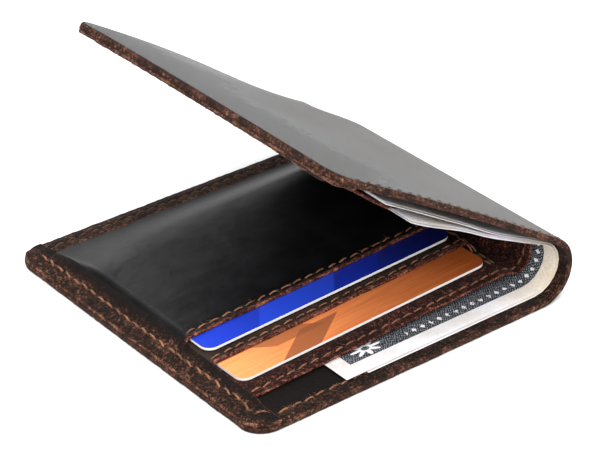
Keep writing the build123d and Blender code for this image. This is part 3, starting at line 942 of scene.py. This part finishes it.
def build_seams():
    on_free = border_top(free_border_under, FREE_BORDER, lambda a, d: a)
    on_back = border_top(back_border_under, BACK_BORDER, lambda a, d: DEPTH - d, True)
    free = [(SEAM_IN, DEPTH - SEAM_IN - 1.5), (SEAM_IN, CORNER + 1.5)]
    add_seam("stitches_free_edge", seam(free, on_free, 501, fuzz=26, width=0.6, slant=-9.0),
             replaced=("thread_free_edge",))
    back = [(BORDER + 2.5, DEPTH - SEAM_IN + 0.2), (PANEL - 2, DEPTH - SEAM_IN + 0.2)]
    # These stitches take the darker thread as painted shade in the back border's groove.
    add_seam("stitches_back_edge", seam(back, on_back, 502, width=0.5, fuzz=4),
             replaced=("thread_back_edge",), material_used=DARK_THREAD)

    inner = CORNER - SEAM_IN + 2.2
    first = around_corner((SEAM_IN + inner, SEAM_IN + inner), inner, 178, 270)
    last = around_corner((TOTAL - SEAM_IN - inner, SEAM_IN + inner), inner, -90, 0)
    low_front = seam([(CORNER + 3.4, SEAM_IN), (CUTS[0], SEAM_IN)], top_of_shell, 503, fuzz=14)
    bend_front = seam([(CUTS[0], SEAM_IN), (CUTS[-1], SEAM_IN)], top_of_shell, 504, arch=0.06,
                      flatten=0.4)
    high_front = seam([(CUTS[-1], SEAM_IN)] + last[:-4], top_of_shell, 505, fuzz=6)
    outside = seam([(PANEL + 5, OUTSIDE_SEAM), (TOTAL - CORNER, OUTSIDE_SEAM)], outside_of_shell,
                   506, up=-1, width=0.4, arch=0.07, length=2.2, slant=12.0, wobble=0.1,
                   flatten=0.45)
    corner_seam = seam(first[2:], lambda a, d: np.where(a < BORDER + 0.6, on_free(a, d),
                                                        top_of_shell(a, d)), 507, fuzz=14)
    flat, faces = joined(low_front, bend_front, high_front)
    add_bent(stretch_names("stitches_front"), flat, faces, np.zeros(len(faces), int), [THREAD],
             BODIES, 0.5, {0: ("thread_front_edge",)})
    flat, faces = outside
    add_bent(stretch_names("stitches_outside"), flat, faces, np.zeros(len(faces), int),
             [DARK_THREAD], BODIES, 0.5, {len(CUTS): ("thread_cover_front_edge",)})
    add_seam("stitches_corner", corner_seam)

    def over_liner(a, d):
        return liner_lift(a, d) + LINER - 0.16
    edge = LINER_FRONT + MOUTH_SEAM
    flat, faces = seam([(9.0, edge), (TOTAL - BORDER - 2, edge)], over_liner, 508, width=0.5,
                       arch=0.2, fuzz=5)
    add_bent(stretch_names("stitches_liner"), flat, faces, np.zeros(len(faces), int), [THREAD],
             BODIES, 0.5, {0: ("thread_liner_edge",)})
    for name, mouth, under, node_name, seed in (
            ("stitches_pocket_middle", MIDDLE_MOUTH, middle_pocket_under, "thread_pocket_middle", 510),
            ("stitches_pocket_front", FRONT_MOUTH, front_pocket_under, "thread_pocket_front", 511)):
        line = mouth + MOUTH_SEAM
        part = seam([(8.8, line), (97.4, line)], lambda a, d, u=under: u(a, d) + POCKET - 0.14,
                    seed, width=0.5, arch=0.22, slant=4.0, fuzz=3)
        add_seam(name, part, replaced=(node_name,))
    ends = []
    for k, a in enumerate((96.9, 98.4)):
        path = [(a - 0.6, 18.0), (a + 0.3, 30.0), (a + 0.6, DEPTH - BORDER - 4)]

        def over(x, y):
            on_liner = section_lift(x, y) + LINER
            middle = middle_pocket_under(x, y) + POCKET
            front = front_pocket_under(x, y) + POCKET
            low = np.where(y > MIDDLE_MOUTH, middle, on_liner)
            return np.where(y > FRONT_MOUTH, front, low) - 0.12
        ends.append(seam(path, over, 520 + k, width=0.55, arch=0.24, slant=3.0, fuzz=2))
    add_seam("stitches_section_end", joined(*ends), replaced=("thread_section_end",))

    add_seam("stitches_cover_free_edge",
             seam([(TOTAL - SEAM_IN, 14), (TOTAL - SEAM_IN, DEPTH - 8)],
                  border_top(cover_free_under, FREE_BORDER, lambda a, d: TOTAL - a), 530, fuzz=6),
             body="cover", replaced=("thread_cover_free_edge",))
    add_seam("stitches_cover_back_edge",
             seam([(COVER_START + 6, DEPTH - SEAM_IN), (TOTAL - BORDER - 2, DEPTH - SEAM_IN)],
                  border_top(cover_back_under, BACK_BORDER, lambda a, d: DEPTH - d, True), 531,
                  fuzz=4), body="cover", replaced=("thread_cover_back_edge",))
    line = COVER_MOUTH + MOUTH_SEAM
    add_seam("stitches_cover_pocket",
             seam([(COVER_START + 7, line), (TOTAL - BORDER - 1, line)],
                  cover_under(LINER + GAP + POCKET - 0.04), 532, width=0.6, arch=0.26, fuzz=2),
             body="cover", replaced=("thread_cover_pocket",))


def build_cards():
    blue = card_print("card_blue_print", "card_blue", "2140c8", "141b5e", [
        (slanted_band(0.20, 0.30, 0.5), "2c52e0", 0.5),
        (slanted_band(0.52, 0.16, 0.5), "1a2ca8", 0.6)])
    orange = card_print("card_orange_print", "card_orange", "ffb478", "bd6a34", [
        (slanted_block(0.16, 0.15, 0.9, 0.0, 0.16), "9a5636", 0.8),
        (slanted_block(0.30, 0.20, -0.9, 0.12, 0.30), "9a5636", 0.7)], brushed=0.7, gloss=0.3)
    for name, used in (("card_blue", blue), ("card_orange", orange)):
        mesh = frame["nodes"][name].data
        mesh.materials.clear()
        mesh.materials.append(used)


# ---------------------------------------------------------------- stage
def build_stage():
    bpy.ops.mesh.primitive_plane_add(size=6.0, location=(0, 0, 0))
    floor = bpy.context.object
    floor.name = "floor"
    made, tree, shader = material("floor_white", Roughness=0.9, Specular_IOR_Level=0.1)
    shader.inputs["Base Color"].default_value = (0.86, 0.86, 0.86, 1)
    floor.data.materials.append(made)

    world = bpy.data.worlds.new("studio")
    world.use_nodes = True
    world.node_tree.nodes["Background"].inputs["Color"].default_value = (1, 1, 1, 1)
    world.node_tree.nodes["Background"].inputs["Strength"].default_value = 0.42
    bpy.context.scene.world = world

    for name, place_at, size, power in (
            ("overhead", (-0.15, -0.1, 1.1), 1.3, 19.0),
            ("key", (-0.55, -0.6, 0.6), 0.5, 7.5),
            ("fill", (0.35, -0.95, 0.45), 0.5, 3.0),
            ("back", (0.2, 0.95, 0.5), 0.4, 2.6)):
        light = bpy.data.lights.new(name, "AREA")
        light.size, light.energy = size, power
        lamp = bpy.data.objects.new(name, light)
        lamp.location = place_at
        lamp.rotation_euler = (-Vector(place_at)).to_track_quat("-Z", "Y").to_euler()
        bpy.context.scene.collection.objects.link(lamp)

    camera = bpy.data.cameras.new("camera")
    camera.lens, camera.sensor_width = 139.0, 36.0
    camera.clip_start = 0.01
    view = bpy.data.objects.new("camera", camera)
    view.location = (-0.33643, -0.43224, 0.34046)
    view.rotation_euler = (radians(90 - 30.46), 0, radians(-38.63))
    bpy.context.scene.collection.objects.link(view)
    bpy.context.scene.camera = view
    bpy.context.scene.view_settings.view_transform = "Standard"


build_stage()
build_shell()
build_liner()
build_lower_layers()
build_cover_layers()
build_notes()
build_cards()
build_seams()
